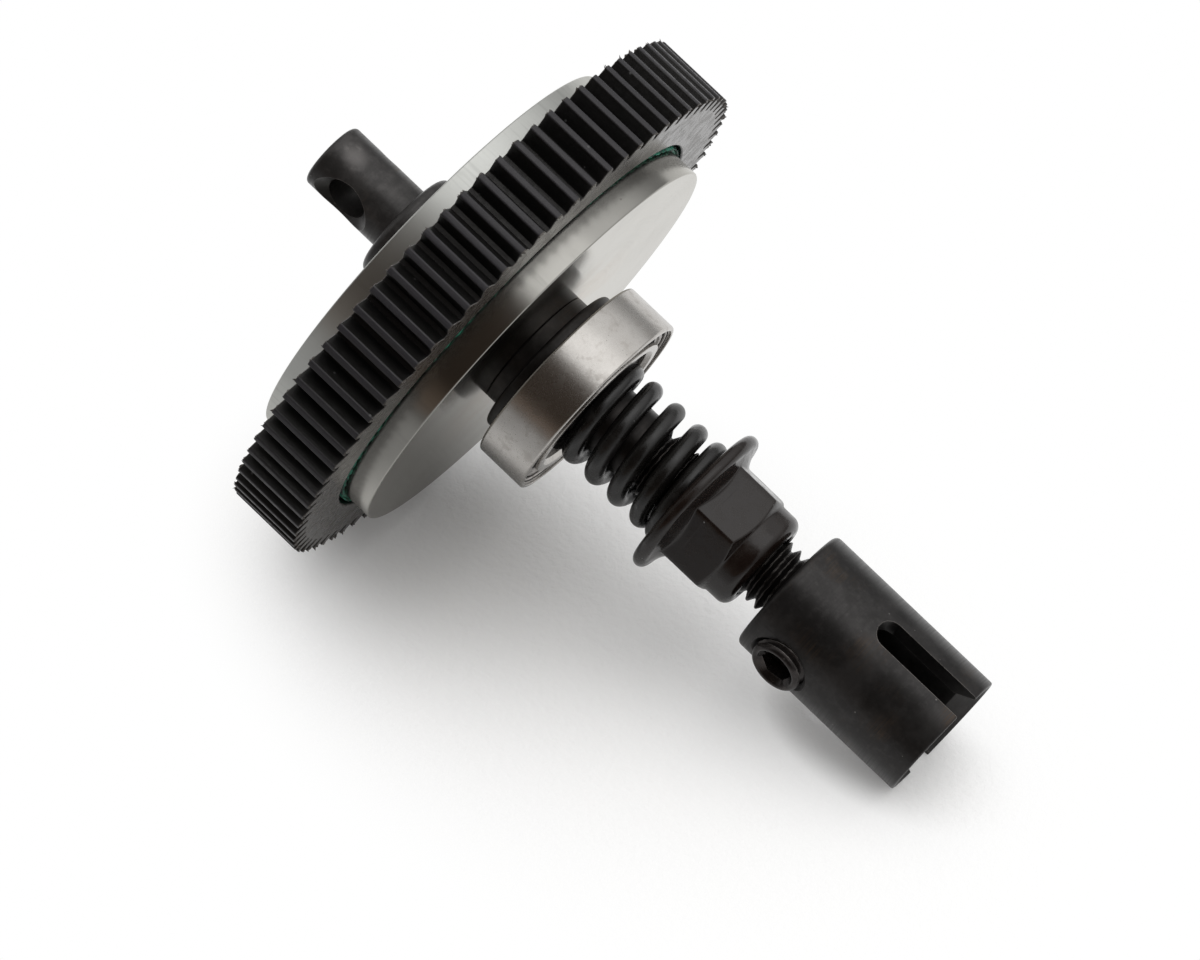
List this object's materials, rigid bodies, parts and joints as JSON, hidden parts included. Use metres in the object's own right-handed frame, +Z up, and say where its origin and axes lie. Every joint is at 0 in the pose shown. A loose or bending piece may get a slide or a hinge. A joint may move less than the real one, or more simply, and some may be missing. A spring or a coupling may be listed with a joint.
{
  "type": "slipper clutch",
  "caption": "Slipper clutch on a shaft: a spur gear held between two steel plates by friction pads, with a bearing, a spring, a lock nut and a slotted drive cup.",
  "frame": {"origin": "on the shaft's axis, at the middle of the ball bearing's width", "axes": "+Z up; +X is the level direction in which the shaft slopes down toward the drive cup, as the clutch lies on its gear's front rim and its cup's mouth; the shaft's axis lies in the XZ plane"},
  "size_m": [0.0559, 0.0424, 0.0413],
  "materials": {
    "black_oxide": "black oxide, satin",
    "turned_steel": "turned, satin",
    "ground_steel": "ground, satin",
    "polished_steel": "polished",
    "shield_steel": "pressed sheet",
    "spring_steel": "black, oiled",
    "nut_steel": "black, glossy",
    "black_plastic": "moulded, machined teeth",
    "green_pad": "friction material",
    "bronze": "sintered",
    "nylon": "translucent white"
  },
  "bodies": {
    "rotor": {"shaft": "black_oxide", "rear_plate": "turned_steel", "front_plate": "turned_steel", "thrust_hub": "black_oxide", "bearing_inner_race": "ground_steel", "spring": "spring_steel", "drive_cup": "black_oxide", "set_screw": "nut_steel"},
    "gear": {"spur_gear": "black_plastic", "gear_bush": "bronze", "rear_friction_pad": "green_pad", "front_friction_pad": "green_pad"},
    "ball_set": {"bearing_balls": "polished_steel", "ball_cage": "shield_steel"},
    "bearing_ring": {"bearing_outer_race": "ground_steel", "bearing_rear_shield": "shield_steel", "bearing_front_shield": "shield_steel", "rear_snap_ring": "shield_steel", "front_snap_ring": "shield_steel"},
    "nut_carrier": {"nut_insert": "nylon"},
    "nut": {"lock_nut": "nut_steel"}
  },
  "joints": [
    {"name": "gear_slip", "type": "hinge", "parent": "rotor", "child": "gear", "pos_m": [-0.00829, 0, 0.00337], "axis": [0.9263, 0, -0.3768], "continuous": true},
    {"name": "bearing_spin", "type": "hinge", "parent": "rotor", "child": "bearing_ring", "pos_m": [0, 0, 0], "axis": [0.9263, 0, -0.3768], "continuous": true},
    {"name": "ball_orbit", "type": "hinge", "parent": "rotor", "child": "ball_set", "pos_m": [0, 0, 0], "axis": [0.9263, 0, -0.3768], "continuous": true},
    {"name": "nut_travel", "type": "slide", "parent": "rotor", "child": "nut_carrier", "axis": [0.9263, 0, -0.3768], "range_m": [-0.0012, 0.002], "deforming": ["spring"]},
    {"name": "nut_turn", "type": "hinge", "parent": "nut_carrier", "child": "nut", "pos_m": [0.00987, 0, -0.00401], "axis": [0.9263, 0, -0.3768], "range_deg": [-540.01, 900.01]}
  ],
  "couplings": [
    {"joint": "ball_orbit", "follows": "bearing_spin", "ratio": 0.556},
    {"joint": "nut_turn", "follows": "nut_travel", "rad_per_m": 7854}
  ]
}
